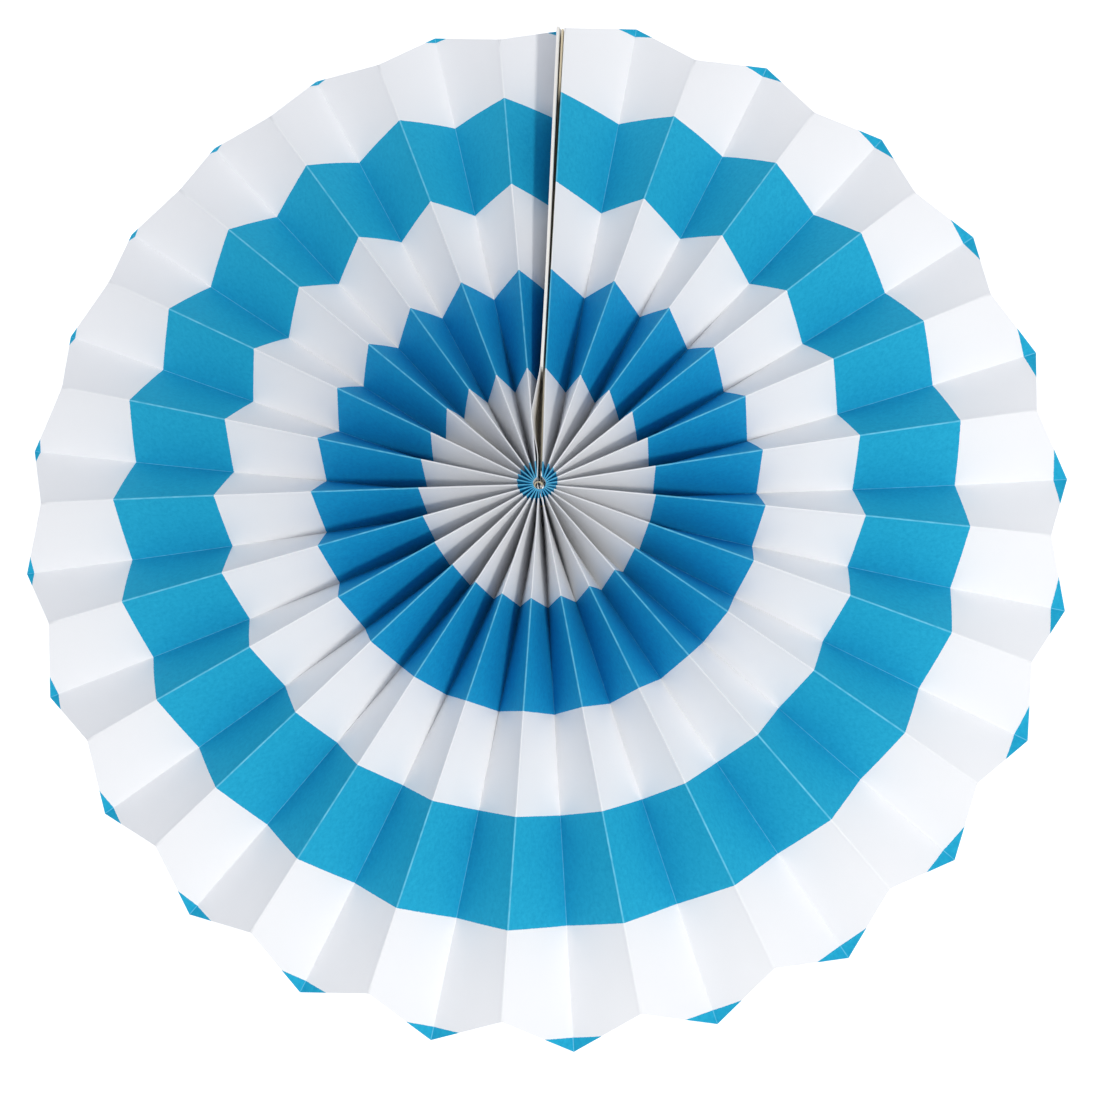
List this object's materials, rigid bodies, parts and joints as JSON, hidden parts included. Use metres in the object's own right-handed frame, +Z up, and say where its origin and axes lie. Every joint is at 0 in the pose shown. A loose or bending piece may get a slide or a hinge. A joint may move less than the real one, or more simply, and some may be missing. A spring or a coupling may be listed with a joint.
{
  "type": "paper fan medallion",
  "caption": "Pleated paper rosette: a folded strip opened to a full circle, its ends on card strips taped together, laced at the hub.",
  "frame": {"origin": "the medallion's axis, at the middle of the pleats' depth at the hub", "axes": "+Z up along the taped seam, +X to the right, the printed front faces -Y"},
  "size_m": [0.3986, 0.0426, 0.3986],
  "materials": {
    "printed_paper": "matte uncoated paper, white with blue printed bands",
    "card": "matte pale grey-cream card",
    "tape": "thin white double-sided tape",
    "thread": "pale twisted cotton thread"
  },
  "bodies": {
    "root": {"pleated_paper": "printed_paper", "right_card_strip": "card", "left_card_strip": "card", "seam_tape": "tape", "binding_thread": "thread"}
  },
  "joints": []
}
